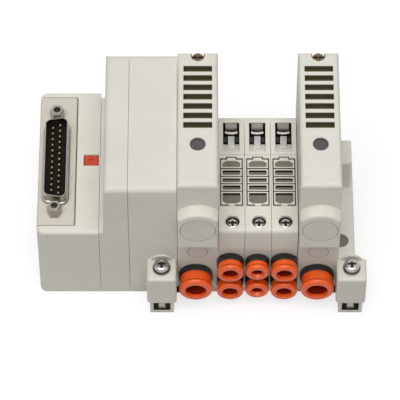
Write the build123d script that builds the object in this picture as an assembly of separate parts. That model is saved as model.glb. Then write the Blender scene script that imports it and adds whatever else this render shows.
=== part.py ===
from build123d import *
from math import cos, radians, sqrt, tan
import os

# A pneumatic valve island for a 35 mm top-hat rail: a swivelling D-sub connector block and a junction
# housing on the left, two supply/exhaust blocks with vented covers, and three 10.5 mm valve stations
# between them with their valve faces open. Millimetres. X runs along the rail, +Y to the back, +Z up.
# Shapes are drawn from the front plane of the blocks and the left end's own datum; every part is saved
# with the origin under the middle of the whole island.

# ---- driving dimensions -------------------------------------------------------------------------
seam = 0.15            # gap left between neighbouring blocks
clear = 0.3            # clearance round a piece that moves freely
run_fit = 0.06         # radial clearance of a running fit

rail_width = 35.5      # slot for the 35 mm rail, front to back
rail_slot_y = 12.25    # front wall of the rail slot
rail_slot_depth = 6.0
hook_reach = 1.7       # how far the hooks reach under the rail's flange
hook_top = 4.7
hook_thick = 1.5

conn_x0, conn_width, conn_depth, conn_height = -64.6, 24.5, 69.5, 41.8
conn_edge = 1.5
carrier_side = 15.0    # square section of the swivelling connector carrier
carrier_y0, carrier_length = 3.8, 62.7
carrier_corner = 1.0
trunnion_radius, trunnion_length = 2.0, 2.0

dsub_shift_x = -0.5    # the connector sits a little off the carrier's middle
dsub_y = 33.2
dsub_length, dsub_width, dsub_corner, dsub_wall = 39.8, 9.2, 2.6, 0.4
dsub_slant = 10.0      # slope of the D's short sides, degrees
dsub_height = 5.4
dsub_seat = 3.0        # depth of the connector's seat in the carrier
dsub_base_flare, dsub_base_height = 0.9, 1.5
insulator_top = 0.4
pin_pitch, pin_row_gap, pins_long_row = 2.77, 2.84, 13
pin_radius, pin_height = 0.5, 4.4
jack_spacing, jack_across_flats, jack_height, jack_bore = 47.04, 5.0, 5.2, 1.42
jack_shank = 2.1

button_x, button_y, button_width, button_length = -43.6, 35.4, 5.8, 5.2
button_recess, button_height, button_travel = 0.5, 4.0, 1.0

junction_height, junction_depth = 71.1, 66.5
junction_split_x, junction_wall_x, junction_foot_x = -28.1, -38.3, -39.95
junction_draft = 0.8   # how much the left wall leans in towards its top
junction_edge = 2.4

supply_width, supply_height, supply_depth, supply_edge = 16.1, 74.0, 65.3, 1.6
supply_left_x = -0.9
cover_base_z = 45.0    # parting line between the supply body and its vented cover
boss_radius, boss_z, boss_bottom, boss_proud = 10.2, 50.9, 38.6, 5.3
boss_edge, boss_inset = 1.2, 0.1
slot_count, slot_pitch, slot_width, slot_length = 7, 4.6, 11.4, 2.9
slot_margin = 3.1      # from the cavity's back wall to the middle of the first slot
cover_wall, cover_roof = 1.5, 1.2
cavity_y0 = 25.0
cavity_back = 5.3      # from the cavity's back wall to the back of the block
shelf_low, shelf_high = 20.0, 12.0     # start and end of the body's rear slope, below the parting line
core_gap, core_rise = 4.0, 1.5         # how the body's upper core stops short of the cavity and clears the boss
element_gap = 1.2
vent_plug_y, vent_plug_radius, vent_plug_depth = 20.0, 3.1, 3.0
cover_screw_inset, cover_screw_sink, cover_screw_bite, cover_screw_blind = 1.7, 1.4, 7.0, 1.0
cover_screw_head, cover_screw_thick, cover_screw_shank = 2.5, 1.8, 1.25
exhaust_plug_radius, exhaust_plug_depth = 6.9, 4.0
pilot_plug_radius, pilot_plug_z, pilot_plug_depth = 3.95, 28.6, 4.0
plug_gap = 0.18

station_pitch, station_count = 10.5, 3
station_gap_left, station_gap_right = 0.15, 0.25   # play between the stations and the supply blocks
station_height, station_depth = 43.0, 56.3
station_edge = 1.8
port_step_z, port_step = 30.2, 0.25

pocket_width, pocket_y0, pocket_y1, pocket_depth = 9.2, 12.3, 35.5, 0.9
pocket_tab_width, pocket_tab = 4.3, 0.8
gasket_line = 0.45     # width of rubber seen round the rear tab
cell_wall, cell_width = 0.5, 8.2
cell_edges = ((13.0, 19.1, 2.2), (19.6, 22.8, 4.0), (23.3, 26.4, 4.0), (26.9, 30.2, 4.0), (30.8, 34.9, 2.2))
gasket_thick, gasket_gap = 0.6, 0.1
pad_y0, pad_y1, pad_drop = 7.6, 12.1, 0.35
joint_line_y, joint_line = 37.1, 0.2
latch_y0, latch_y1, latch_width, latch_depth = 38.8, 53.2, 6.6, 8.0
latch_steel = 0.45

screw_shift_x, screw_y = 0.3, 4.8
screw_seat_radius, screw_seat_depth = 2.85, 3.4
screw_head_radius, screw_head_height, screw_shank = 2.55, 2.4, 1.25
screw_length = 12.0
recess_arm, recess_width, recess_depth = 1.85, 1.0, 1.5

port_shift, port_spread = -0.15, 0.3   # how the port columns sit off the stations' middle, and their extra pitch
port_upper_z, port_lower_z = 22.3, 9.5
supply_port_z = 13.2
supply_port_shift = (-0.8, -0.2)
collar_proud = 2.7
collar_bevel = 0.2
cup_floor = 0.8        # floor of the collar's cup, in front of the block
ring_face = 1.6        # width of the release ring's front flange
ring_groove, ring_groove_depth = 0.6, 0.5
ring_travel = 1.2
mouth_flare = 1.2      # length of the lead-in for the tube
sleeve_wall = 0.8
sleeve_end = 8.0
body_wall = 0.5
tube_depth = 10.5
tube_stop = 0.8        # ledge that the tube's end rests on
seat_fit = 0.02        # radial fit of a pressed-in piece
# Radii of tube bore, collar, rear band, front flange and mouth, how far the ring stands out, and its rounding.
LARGE = dict(tube=4.05, collar=6.85, band=6.3, flange=6.75, reach=8.8, mouth=4.35, round=1.3)
MEDIUM = dict(tube=3.05, collar=5.45, band=4.95, flange=5.35, reach=7.0, mouth=3.35, round=1.0)
SMALL = dict(tube=2.05, collar=4.85, band=4.3, flange=4.7, reach=6.5, mouth=2.75, round=1.0)

end_width, end_height, end_depth = 6.6, 24.0, 56.3
end_lug_y0, end_lug_y1, end_lug_height, end_lug_inset = 34.6, 46.3, 41.0, 1.1
end_edge = 1.2
end_socket_radius, end_socket_y, end_socket_depth = 3.2, 8.6, 3.0

bracket_width, bracket_reach, bracket_top, bracket_base = 11.9, 10.4, 23.6, 7.4
bracket_left_x = -15.3
bracket_right_inset = 5.1   # from the end block's inner face to the middle of the right bracket
bracket_edge = 1.3
foot_width, window_width, window_z0, window_z1 = 9.5, 6.8, 1.6, 6.8
tab_radius, tab_thick = 4.4, 0.9
clamp_width, clamp_travel, clamp_wing, clamp_front = 6.0, 1.2, 7.1, 8.6
rail_screw_y, rail_screw_head, rail_screw_height = -4.7, 3.1, 2.6
rail_screw_shank, washer_radius, washer_thick = 1.5, 3.6, 0.9

rod_radius, rod_nut_flats, rod_nut_thick = 1.5, 5.5, 2.4
rod_blind_x, rod_end_gap = 8.0, 0.5    # start of the rods' holes inside the junction housing, and the play there
rod_places = ((22.0, 14.0), (52.0, 14.0))

# ---- shared helpers -----------------------------------------------------------------------------
station_x0 = supply_left_x + supply_width / 2 + station_gap_left
station_x1 = station_x0 + station_pitch * station_count
supply_right_x = station_x1 + station_gap_right + supply_width / 2
port_centre_x = (station_x0 + station_x1) / 2 + port_shift
port_pitch = station_pitch + port_spread
end_x0 = supply_right_x + supply_width / 2 + seam
bracket_right_x = end_x0 + bracket_right_inset
station_centres = [station_x0 + station_pitch * (i + 0.5) for i in range(station_count)]
cavity_y1 = supply_depth - cavity_back
slot_first_y = cavity_y1 - slot_margin
screw_tip_z = station_height - screw_seat_depth - screw_length
mid_x = (conn_x0 + bracket_right_x + bracket_width / 2) / 2
mid_y = (conn_depth - bracket_reach) / 2
junction_x1 = supply_left_x - supply_width / 2 - seam


def box(x0, x1, y0, y1, z0, z1):
    """Axis-aligned block between two corners."""
    return Pos((x0 + x1) / 2, (y0 + y1) / 2, (z0 + z1) / 2) * Box(x1 - x0, y1 - y0, z1 - z0)


def upright(x, y, z0, z1, radius):
    """Vertical cylinder from z0 up to z1."""
    return Pos(x, y, (z0 + z1) / 2) * Cylinder(radius, z1 - z0)


def across(x, z, y0, y1, radius):
    """Cylinder along Y from y0 back to y1."""
    return Pos(x, (y0 + y1) / 2, z) * Rot(90, 0, 0) * Cylinder(radius, y1 - y0)


def side_profile(points, x0, x1):
    """Solid with an outline in the YZ plane, from x0 to x1."""
    return Pos(x0, 0, 0) * extrude(Plane.YZ * Polygon(*points, align=None), x1 - x0)


def front_profile(points, y0, y1):
    """Solid with an outline in the XZ plane, listed anticlockwise from the front, from y0 back to y1."""
    return Pos(0, y1, 0) * extrude(Plane.XZ * Polygon(*points, align=None), y1 - y0)


def edges_at(shape, axis, position, along=None):
    """Edges whose centre lies at a position on an axis, with an optional filter on direction."""
    found = shape.edges().filter_by_position(axis, position - 0.01, position + 0.01)
    return found.filter_by(along) if along else found


def rail_slot(x0, x1):
    """Space taken out of the underside for the mounting rail."""
    return box(x0 - 1, x1 + 1, rail_slot_y, rail_slot_y + rail_width, -1, rail_slot_depth)


def rear_hook(x0, x1):
    """Fixed lip that holds the rail's rear flange."""
    rear = rail_slot_y + rail_width
    return box(x0, x1, rear - hook_reach, rear, hook_top - hook_thick, hook_top)


def rod_holes(x0, x1, radius=rod_radius + clear / 2):
    """Holes for the tie rods, from x0 to x1."""
    return [Pos((x0 + x1) / 2, y, z) * Rot(0, 90, 0) * Cylinder(radius, x1 - x0) for y, z in rod_places]


def cross_recess(x, y, top):
    """Cross-head driver recess, narrowing downwards."""
    arm = Pos(x, y, top) * loft([Rectangle(2 * recess_arm, recess_width).face(),
                                 Pos(0, 0, -recess_depth) * Rectangle(recess_width, recess_width / 2).face()])
    return arm + Pos(x, y, 0) * Rot(0, 0, 90) * Pos(-x, -y, 0) * arm


def pan_screw(x, y, seat, head_radius, head_height, shank_radius, length):
    """Cross-recessed pan-head screw standing on its seat height, shank downwards."""
    head = upright(x, y, seat, seat + head_height, head_radius)
    head = fillet(head.edges().group_by(Axis.Z)[-1], head_height * 0.45)
    shank = upright(x, y, seat - length, seat, shank_radius)
    return head + shank - cross_recess(x, y, seat + head_height)


# ---- connector block ----------------------------------------------------------------------------
conn_x1 = conn_x0 + conn_width
carrier_x = conn_x0 + carrier_side / 2
carrier_z = conn_height - carrier_side / 2
carrier_y1 = carrier_y0 + carrier_length
sweep_radius = (carrier_side / 2 - carrier_corner) * sqrt(2) + carrier_corner + clear


def connector_housing():
    """Low block with a half-open trough for the swivelling carrier and a pocket for its release button."""
    body = box(conn_x0, conn_x1, 0, conn_depth, 0, conn_height)
    body = fillet(edges_at(body, Axis.X, conn_x0, Axis.Z), 2 * conn_edge)
    body = fillet(body.edges().group_by(Axis.Z)[-1].filter_by_position(Axis.X, conn_x0 - 1, conn_x1 - 0.1), conn_edge)
    half, y0, y1 = carrier_side / 2 + clear, carrier_y0 - clear, carrier_y1 + clear
    body -= box(conn_x0 - 1, carrier_x + half, y0, y1, carrier_z - half, conn_height + 1)
    body -= across(carrier_x, carrier_z, y0, y1, sweep_radius)
    reach = trunnion_length + clear
    body -= across(carrier_x, carrier_z, y0 - reach, y1 + reach, trunnion_radius + run_fit)
    body -= button_pocket()
    return body - rail_slot(conn_x0, conn_x1)


def button_pocket():
    """Well in which the release button slides."""
    half_x, half_y = button_width / 2 + clear / 2, button_length / 2 + clear / 2
    bottom = conn_height - button_recess - button_height - button_travel - clear
    return box(button_x - half_x, button_x + half_x, button_y - half_y, button_y + half_y, bottom, conn_height + 1)


def release_button():
    """Button that frees the carrier: a plain key with a raised grip rib."""
    top = conn_height - button_recess
    key = box(button_x - button_width / 2, button_x + button_width / 2, button_y - button_length / 2,
              button_y + button_length / 2, top - button_height, top)
    key = fillet(key.edges().group_by(Axis.Z)[-1], 0.4)
    return key - box(button_x - 0.9, button_x + 0.9, button_y - 0.9, button_y + 0.9, top - 0.5, top + 1)


def d_outline(grow):
    """D-shaped connector outline, long side towards +X, grown outwards by an amount."""
    half_l, half_w = dsub_length / 2 + grow, dsub_width / 2 + grow
    inset = 2 * half_w * tan(radians(dsub_slant))
    shape = Polygon((half_w, -half_l), (half_w, half_l), (-half_w, half_l - inset), (-half_w, inset - half_l),
                    align=None)
    return fillet(shape.vertices(), dsub_corner + grow)


def at_dsub(z):
    """Centre of the connector at a height above the carrier's face."""
    return Pos(carrier_x + dsub_shift_x, dsub_y, conn_height + z)


def connector_carrier():
    """Square bar on two trunnions that turns the connector from the top to the side."""
    bar = box(carrier_x - carrier_side / 2, carrier_x + carrier_side / 2, carrier_y0, carrier_y1,
              carrier_z - carrier_side / 2, conn_height)
    bar = fillet(bar.edges().filter_by(Axis.Y), carrier_corner)
    reach = trunnion_length
    bar += across(carrier_x, carrier_z, carrier_y0 - reach, carrier_y1 + reach, trunnion_radius)
    bar -= at_dsub(-dsub_seat) * extrude(d_outline(dsub_base_flare + 0.02), dsub_seat + 1)
    for side in (-1, 1):
        bar -= at_dsub(-dsub_seat) * Pos(0, side * jack_spacing / 2, 0) * Cylinder(jack_shank + 0.02, 2 * dsub_seat)
    return bar


def dsub_shell():
    """Drawn steel shell with a flared base and an open D mouth."""
    base = at_dsub(-dsub_seat) * extrude(d_outline(dsub_base_flare), dsub_seat + dsub_base_height)
    base = fillet(base.edges().group_by(Axis.Z)[-1], 0.6)
    wall = at_dsub(0) * extrude(d_outline(0), dsub_height)
    bore = at_dsub(-dsub_seat - 1) * extrude(d_outline(-dsub_wall), dsub_height + dsub_seat + 2)
    return base + wall - bore


def dsub_insulator():
    """Black contact carrier filling the bottom of the shell."""
    body = at_dsub(-dsub_seat) * extrude(d_outline(-dsub_wall - 0.02), dsub_seat + insulator_top)
    return body - [at_dsub(0) * Pos(x, y, 0) * Cylinder(pin_radius, 4 * dsub_seat) for x, y in pin_places()]


def pin_places():
    """Two staggered rows of contacts."""
    for row, count in ((1, pins_long_row), (-1, pins_long_row - 1)):
        for i in range(count):
            yield row * pin_row_gap / 2, (i - (count - 1) / 2) * pin_pitch


def dsub_pins():
    """Round-nosed contacts."""
    pin = Cylinder(pin_radius, pin_height + dsub_seat, align=(Align.CENTER, Align.CENTER, Align.MIN))
    pin = chamfer(pin.edges().group_by(Axis.Z)[-1], pin_radius * 0.5)
    return [at_dsub(-dsub_seat) * Pos(x, y, 0) * pin for x, y in pin_places()]


def dsub_jackscrews():
    """Hexagonal threaded standoffs that take the plug's thumbscrews."""
    across_corners = jack_across_flats / cos(radians(30)) / 2
    post = extrude(RegularPolygon(across_corners, 6, rotation=0), jack_height)
    post = chamfer(post.edges().group_by(Axis.Z)[-1], 0.35)
    post += Pos(0, 0, -dsub_seat) * Cylinder(jack_shank, dsub_seat, align=(Align.CENTER, Align.CENTER, Align.MIN))
    post -= Pos(0, 0, 0.6) * Cylinder(jack_bore, jack_height, align=(Align.CENTER, Align.CENTER, Align.MIN))
    return [at_dsub(0) * Pos(0, side * jack_spacing / 2, 0) * post for side in (-1, 1)]


# ---- junction housing ---------------------------------------------------------------------------
def junction_cover():
    """Left shell of the tall housing, with a drafted side wall on a short foot."""
    top_x = junction_wall_x + junction_draft
    split = junction_split_x - seam
    front = ((split, 0), (split, junction_height), (top_x, junction_height), (junction_wall_x, conn_height),
             (junction_foot_x, conn_height), (junction_foot_x, 0))
    body = front_profile(front, 0, junction_depth)
    outer = body.edges().group_by(Axis.Z)[-1].filter_by_position(Axis.X, top_x - 1, split - 0.1)
    body = fillet(outer, junction_edge)
    return body - rail_slot(junction_foot_x, junction_split_x)


def junction_housing():
    """Right part of the tall housing, which carries the left rail bracket's clamp channel."""
    body = box(junction_split_x, junction_x1, 0, junction_depth, 0, junction_height)
    top = body.edges().group_by(Axis.Z)[-1].filter_by(Axis.X)
    body = fillet(top, junction_edge)
    body -= rail_slot(junction_split_x, junction_x1)
    body += rear_hook(junction_split_x, junction_x1)
    body -= clamp_channel(bracket_left_x)
    return body - rod_holes(junction_split_x + rod_blind_x, junction_x1 + 1)


# ---- supply and exhaust blocks ------------------------------------------------------------------
def supply_boss(x):
    """Arched boss on the front face that takes the exhaust port plug."""
    half = supply_width / 2 - boss_inset
    shoulder = boss_z + sqrt(boss_radius ** 2 - half ** 2)
    sides = Polyline((-half, shoulder), (-half, boss_bottom), (half, boss_bottom), (half, shoulder))
    crown = ThreePointArc((half, shoulder), (0, boss_z + boss_radius), (-half, shoulder))
    arch = make_face([sides, crown])
    boss = Pos(x, 0.5, 0) * extrude(Plane.XZ * arch, boss_proud + 0.5)
    return fillet(boss.edges().group_by(Axis.Y)[0], boss_edge)


def supply_body(x):
    """Ported lower block: boss, plug seats, push-in fitting bore and tie-rod holes."""
    half = supply_width / 2
    side = ((0, 0), (station_depth, 0), (station_depth, cover_base_z - shelf_low),
            (supply_depth, cover_base_z - shelf_high), (supply_depth, cover_base_z), (0, cover_base_z))
    body = side_profile(side, x - half, x + half)
    upper = box(x - half, x + half, 0, cavity_y0 - core_gap, cover_base_z, boss_z + boss_radius + core_rise)
    body = body + upper + supply_boss(x)
    body -= across(x, boss_z, -boss_proud - 1, exhaust_plug_depth - boss_proud, exhaust_plug_radius + plug_gap)
    body -= across(x, pilot_plug_z, -1, pilot_plug_depth, pilot_plug_radius + plug_gap)
    shift = supply_port_shift[0] if x == supply_left_x else supply_port_shift[1]
    body -= fitting_seat(x + shift, supply_port_z, LARGE)
    body -= rail_slot(x - half, x + half)
    screw_y = supply_depth - cover_screw_inset
    screw_floor = cover_base_z - cover_screw_bite - cover_screw_blind
    body -= upright(x, screw_y, screw_floor, cover_base_z + 1, cover_screw_shank + 0.02)
    return body - rod_holes(x - half - 1, x + half + 1)


def silencer_cover(x):
    """Tall vented cover over the exhaust silencer, with a notched screw seat at the back."""
    half = supply_width / 2
    body = box(x - half, x + half, 0, supply_depth, cover_base_z, supply_height)
    body -= box(x - half - 1, x + half + 1, -1, cavity_y0 - core_gap, cover_base_z - 1,
                boss_z + boss_radius + core_rise)
    body = fillet(body.edges().group_by(Axis.Z)[-1], supply_edge)
    roof = supply_height - cover_roof
    body -= box(x - half + cover_wall, x + half - cover_wall, cavity_y0, cavity_y1, cover_base_z - 1, roof)
    slot = Box(slot_width, slot_length, 2 * cover_roof + 2)
    body -= [Pos(x, slot_first_y - i * slot_pitch, supply_height) * slot for i in range(slot_count)]
    body -= upright(x, vent_plug_y, supply_height - vent_plug_depth, supply_height + 1, vent_plug_radius + 0.05)
    screw_y, seat = supply_depth - cover_screw_inset, supply_height - cover_screw_sink - cover_screw_thick
    body -= upright(x, screw_y, seat, supply_height + 1, cover_screw_head + 0.4)
    return body - upright(x, screw_y, cover_base_z - 1, seat + 1, cover_screw_shank + 0.02)


def silencer_element(x):
    """Porous exhaust silencer block under the slots."""
    half = supply_width / 2 - cover_wall - 0.1
    top = supply_height - cover_roof - element_gap
    return box(x - half, x + half, cavity_y0 + 0.1, cavity_y1 - 0.1, cover_base_z, top)


def cover_screw(x):
    """Screw that holds the vented cover down."""
    seat = supply_height - cover_screw_sink - cover_screw_thick
    length = seat - cover_base_z + cover_screw_bite
    return pan_screw(x, supply_depth - cover_screw_inset, seat, cover_screw_head, cover_screw_thick,
                     cover_screw_shank, length)


def vent_plug(x):
    """Round plug in the top of the cover, a shallow dish."""
    floor = supply_height - vent_plug_depth
    plug = upright(x, vent_plug_y, floor, supply_height - 0.1, vent_plug_radius)
    return plug - upright(x, vent_plug_y, supply_height - 0.4, supply_height + 1, vent_plug_radius - 0.6)


def exhaust_plug(x):
    """Flush blanking disc in the boss."""
    return across(x, boss_z, -boss_proud, exhaust_plug_depth - boss_proud, exhaust_plug_radius)


def pilot_plug(x):
    """Small blanking disc under the boss."""
    return across(x, pilot_plug_z, 0, pilot_plug_depth, pilot_plug_radius)


# ---- push-in fittings ---------------------------------------------------------------------------
def seat_radius(size):
    """Outer radius of a fitting body where it sits in the block."""
    return size["tube"] + sleeve_wall + run_fit + body_wall


def fitting_seat(x, z, size):
    """Bore in the block for a fitting body."""
    return across(x, z, -1, tube_depth + tube_stop, seat_radius(size) + seat_fit)


def revolved(x, z, points):
    """Turned piece on an axis along Y, from a half profile of radius and depth."""
    face = make_face(Polyline(*[(r, y) for r, y in points], close=True))
    return Pos(x, 0, z) * revolve(face, Axis.Y)


def port_fitting(x, z, size):
    """Black fitting body pressed into the block, with the cup that guides the release ring."""
    seat, collar, tube = seat_radius(size), size["collar"], size["tube"]
    band, sleeve = size["band"] + run_fit, tube + sleeve_wall + run_fit
    sleeve_floor = sleeve_end + ring_travel + clear
    end = tube_depth + tube_stop
    return revolved(x, z, [(band, -collar_proud), (collar - collar_bevel, -collar_proud),
                           (collar, collar_bevel - collar_proud), (collar, -seat_fit), (seat, -seat_fit), (seat, end),
                           (tube - tube_stop, end), (tube - tube_stop, tube_depth), (tube, tube_depth),
                           (tube, sleeve_floor), (sleeve, sleeve_floor), (sleeve, -cup_floor), (band, -cup_floor)])


def release_ring(x, z, size):
    """Orange release ring: rounded front flange, groove, guide band and collet sleeve."""
    tube, band, flange = size["tube"], size["band"], size["flange"]
    sleeve, waist = tube + sleeve_wall, band - ring_groove_depth
    front = -size["reach"]
    back = front + ring_face
    groove = back + ring_groove
    band_back = -cup_floor - ring_travel - clear
    ring = revolved(x, z, [(size["mouth"], front), (flange, front), (flange, back), (waist, back), (waist, groove),
                           (band, groove), (band, band_back), (sleeve, band_back), (sleeve, sleeve_end),
                           (tube, sleeve_end), (tube, front + mouth_flare)])
    rim = ring.edges().group_by(Axis.Y)[0].sort_by(SortBy.RADIUS)[-1]
    return fillet(rim, size["round"])


def supply_ports():
    """Name, centre and size of the two supply ports."""
    yield "left", supply_left_x + supply_port_shift[0], supply_port_z, LARGE
    yield "right", supply_right_x + supply_port_shift[1], supply_port_z, LARGE


def station_ports(index):
    """Centre and size of a station's upper and lower cylinder ports."""
    x = port_centre_x + (index - (station_count - 1) / 2) * port_pitch
    size = SMALL if index == 1 else MEDIUM
    return [("a", x, port_upper_z, size), ("b", x, port_lower_z, size)]


# ---- valve stations -----------------------------------------------------------------------------
def valve_face(x):
    """Shallow pocket with five port cells that the valve's gasket seals against."""
    top, half = station_height, pocket_width / 2
    cut = box(x - half, x + half, pocket_y0, pocket_y1, top - pocket_depth, top + 1)
    return cut + box(x - pocket_tab_width / 2, x + pocket_tab_width / 2, pocket_y1 - 1, pocket_y1 + pocket_tab,
                     top - pocket_depth, top + 1)


def port_cells(x, grow=0.0):
    """Walls round the five cells, as solid pads grown by an amount."""
    half = cell_width / 2 + grow
    low, high = station_height - pocket_depth - 0.5, station_height - 0.15
    cells = [box(x - half, x + half, y0 - grow, y1 + grow, low, high) for y0, y1, _ in cell_edges]
    tab = pocket_tab_width / 2 - gasket_line + grow
    tab_back = pocket_y1 + pocket_tab - gasket_line + grow
    return cells + [box(x - tab, x + tab, cell_edges[-1][1] - 0.4, tab_back, low, high)]


def cell_hollows(x):
    """The passages inside the cells."""
    half = cell_width / 2 - cell_wall
    hollows = []
    for y0, y1, depth in cell_edges:
        hollow = box(x - half, x + half, y0 + cell_wall, y1 - cell_wall, station_height - depth, station_height + 1)
        hollows.append(fillet(hollow.edges().filter_by(Axis.Z), 0.5))
    return hollows


def station_base(index):
    """One slice of the manifold: valve face on top, latch pocket at the back, two cylinder ports in front."""
    x = station_centres[index]
    half = (station_pitch - seam) / 2
    body = box(x - half, x + half, 0, station_depth, 0, station_height)
    body = fillet(body.edges().group_by(Axis.Z)[-1].filter_by(Axis.X), station_edge)
    body -= box(x - half - 1, x + half + 1, -1, port_step, -1, port_step_z)
    body -= valve_face(x)
    body = body + port_cells(x) - cell_hollows(x)
    body -= box(x - half + 0.8, x + half - 0.8, pad_y0, pad_y1, station_height - pad_drop, station_height + 1)
    body -= box(x - half - 1, x + half + 1, joint_line_y, joint_line_y + joint_line, station_height - 0.4,
                station_height + 1)
    body -= box(x - latch_width / 2, x + latch_width / 2, latch_y0, latch_y1, station_height - latch_depth,
                station_height + 1)
    body -= upright(x + screw_shift_x, screw_y, station_height - screw_seat_depth, station_height + 1,
                    screw_seat_radius)
    body -= upright(x + screw_shift_x, screw_y, screw_tip_z, station_height, screw_shank + 0.02)
    body -= [fitting_seat(px, pz, size) for _, px, pz, size in station_ports(index)]
    body -= rail_slot(x - half, x + half)
    return body - rod_holes(x - half - 1, x + half + 1)


def base_gasket(index):
    """Black rubber gasket round the port cells."""
    x = station_centres[index]
    low = station_height - pocket_depth
    sheet = box(x - pocket_width / 2 + gasket_gap, x + pocket_width / 2 - gasket_gap, pocket_y0 + gasket_gap,
                pocket_y1 - gasket_gap, low, low + gasket_thick)
    sheet += box(x - pocket_tab_width / 2 + gasket_gap, x + pocket_tab_width / 2 - gasket_gap, pocket_y1 - 1,
                 pocket_y1 + pocket_tab - gasket_gap, low, low + gasket_thick)
    return sheet - port_cells(x, 0.02)


def valve_latch(index):
    """Sheet-steel catch that hooks the back of a valve: a floor, two cheeks, a cross-bar, a tongue and a lip."""
    x, steel = station_centres[index], latch_steel
    floor = station_height - latch_depth
    half = latch_width / 2 - 0.3
    y0, y1 = latch_y0 + 0.6, latch_y1 - 0.2
    clip = box(x - half, x + half, y0, y1, floor, floor + steel)
    for side in (-1, 1):
        outer = x + side * half
        inner = outer - side * steel
        clip += box(min(outer, inner), max(outer, inner), y0 + 3.4, y1, floor, station_height - 0.9)
    clip += box(x - half, x + half, y1 - steel, y1, floor, station_height - 0.2)
    clip += box(x - half + 0.6, x + half - 0.6, y1 - 3.6, y1, station_height - 0.2 - steel, station_height - 0.2)
    clip += box(x - half, x + half, y0 + 6.6, y0 + 7.2, station_height - 1.5, station_height - 0.9)
    return clip + latch_tongue(x, y0, floor)


def latch_tongue(x, y0, floor):
    """Springy tongue that rises towards the back."""
    rise = latch_depth - 1.6
    lean = 2.6
    side = ((y0 + 1.0, floor), (y0 + 1.6, floor), (y0 + 1.5 + lean, floor + rise), (y0 + 1.0 + lean, floor + rise))
    return side_profile(side, x - 1.6, x + 1.6)


def clamp_screw(index):
    """Captive screw that draws the valve down onto its gasket."""
    x = station_centres[index] + screw_shift_x
    return pan_screw(x, screw_y, station_height - screw_seat_depth, screw_head_radius, screw_head_height,
                     screw_shank, screw_length)


# ---- end block and rail brackets ----------------------------------------------------------------
def end_block():
    """End plate with a raised lug, nut pockets and the right bracket's clamp channel."""
    x1 = end_x0 + end_width
    body = box(end_x0, x1, 0, end_depth, 0, end_height)
    lug = box(end_x0, x1 - end_lug_inset, end_lug_y0, end_lug_y1, end_height - 1, end_lug_height)
    lug = fillet(edges_at(lug, Axis.X, x1 - end_lug_inset, Axis.Z) + lug.edges().group_by(Axis.Z)[-1].filter_by(Axis.X),
                 end_edge)
    body = fillet(body.edges().group_by(Axis.Z)[-1].sort_by(Axis.X)[-1], 1.0) + lug
    body -= upright(end_x0 + 1.0, end_socket_y, end_height - end_socket_depth, end_height + 1, end_socket_radius)
    body -= rail_slot(end_x0, x1)
    body += rear_hook(end_x0, x1)
    body -= clamp_channel(bracket_right_x)
    body -= rod_holes(end_x0 - 1, x1 + 1)
    pocket = rod_nut_flats / sqrt(3) + clear
    return body - rod_holes(x1 - rod_nut_thick - 0.4, x1 + 1, pocket)


def clamp_channel(x):
    """Passage under the block's front for the rail clamp's arm."""
    half = clamp_width / 2 + clear
    low = hook_top - hook_thick - clamp_travel - clear
    return box(x - half, x + half, -1, rail_slot_y + 1, low, hook_top + clear)


def rail_bracket(x, inward):
    """Moulded lug on the front that houses the rail clamp: top boss, two-legged foot and front window."""
    half, foot = bracket_width / 2, foot_width / 2
    body = box(x - half, x + half, -bracket_reach, 0, bracket_base, bracket_top)
    body = fillet(body.edges().filter_by(Axis.Z).group_by(Axis.Y)[0], bracket_edge)
    body = fillet(body.edges().group_by(Axis.Z)[-1].filter_by_position(Axis.Y, -bracket_reach - 1, -0.1), bracket_edge)
    body += box(x - foot, x + foot, -bracket_reach + 0.3, 0, 0, bracket_base + 0.1)
    tab = across(x, bracket_top - 1.2, -tab_thick, 0, tab_radius)
    body += tab - box(x - half, x + half, -5, 1, 0, bracket_top - 1)
    half_w = window_width / 2
    body -= box(x - half_w, x + half_w, -bracket_reach - 1, 1, window_z0, window_z1)
    slot = box(x, x + half + 1, -3.2, 1, window_z0 - 0.4, window_z1 - 1.6)
    body -= slot if inward > 0 else mirror(slot, Plane.YZ.offset(x))
    body -= upright(x, rail_screw_y, 0.5, bracket_top + 1, rail_screw_shank + run_fit)
    return body


def rail_clamp(x, inward):
    """Hooked clamp arm drawn up under the rail's front flange by its screw."""
    half, low = clamp_width / 2, hook_top - hook_thick
    arm = box(x - half, x + half, -clamp_front, rail_slot_y + hook_reach, low, hook_top)
    arm += box(x - 2.6, x + 2.6, rail_screw_y - 2.6, rail_screw_y + 2.6, low, window_z1 - clear)
    wing = box(x, x + clamp_wing, -2.7, -0.4, low, hook_top - 0.3)
    arm += wing if inward > 0 else mirror(wing, Plane.YZ.offset(x))
    return arm - upright(x, rail_screw_y, 0, window_z1 + 1, rail_screw_shank + run_fit)


def rail_screw(x):
    """Clamp screw with its captive washer."""
    seat = bracket_top + washer_thick
    screw = pan_screw(x, rail_screw_y, seat, rail_screw_head, rail_screw_height, rail_screw_shank, seat - 2.2)
    return screw + upright(x, rail_screw_y, bracket_top + 0.02, seat, washer_radius)


# ---- tie rods -----------------------------------------------------------------------------------
def tie_rods():
    """Rods and nuts that hold the slices together."""
    x1 = end_x0 + end_width
    start = junction_split_x + rod_blind_x + rod_end_gap
    nut_x = x1 - rod_nut_thick - 0.4
    rods = []
    for y, z in rod_places:
        rod = Pos((start + x1 - 0.3) / 2, y, z) * Rot(0, 90, 0) * Cylinder(rod_radius, x1 - 0.3 - start)
        nut = extrude(RegularPolygon(rod_nut_flats / sqrt(3), 6), rod_nut_thick)
        rods.append(rod + Pos(nut_x, y, z) * Rot(0, 90, 0) * nut)
    return rods


# ---- write every node ---------------------------------------------------------------------------
def save(name, shapes):
    """Write one node as its own STEP file, with the origin under the island's middle."""
    solids = [Pos(-mid_x, -mid_y, 0) * s for s in (shapes if isinstance(shapes, list) else shapes.solids())]
    export_step(Compound(children=solids) if len(solids) > 1 else solids[0], f"parts/{name}.step")


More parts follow.
